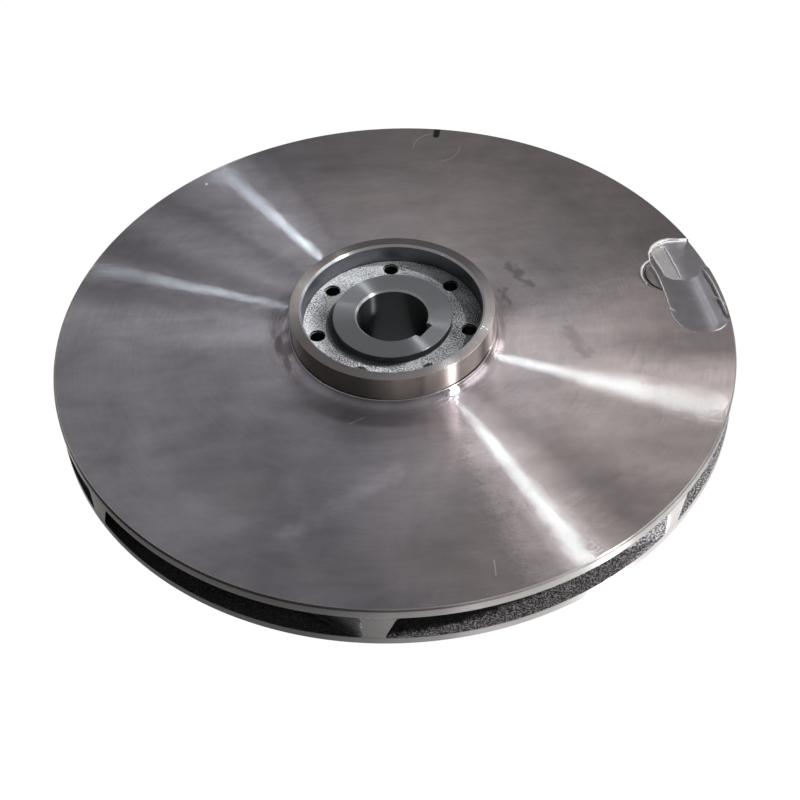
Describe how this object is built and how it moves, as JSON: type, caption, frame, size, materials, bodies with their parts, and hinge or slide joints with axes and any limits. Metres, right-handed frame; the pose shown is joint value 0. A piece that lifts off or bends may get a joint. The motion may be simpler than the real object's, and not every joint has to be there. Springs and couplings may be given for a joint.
{
  "type": "closed pump impeller",
  "caption": "Closed radial pump impeller of cast iron: flat back shroud with a wear ring round a keyed hub, backward-curved vanes and a conical front shroud with a suction eye",
  "frame": {"origin": "Middle of the face of the suction neck, which the impeller rests on", "axes": "+Z is the shaft axis and points from the suction eye to the drive side; -Y looks at the viewer of the picture"},
  "size_m": [0.4, 0.4, 0.102],
  "materials": {
    "turned_iron": "fine turned, brownish grey",
    "hub_iron": "turned boss on a blasted casting",
    "ring_iron": "smooth turned",
    "cast_iron": "blasted sand casting"
  },
  "bodies": {
    "root": {"hub": "hub_iron", "back_shroud": "turned_iron", "back_wear_ring": "ring_iron", "front_shroud": "cast_iron", "front_wear_ring": "ring_iron", "vane_1": "cast_iron", "vane_2": "cast_iron", "vane_3": "cast_iron", "vane_4": "cast_iron", "vane_5": "cast_iron", "vane_6": "cast_iron", "vane_7": "cast_iron"}
  },
  "joints": []
}
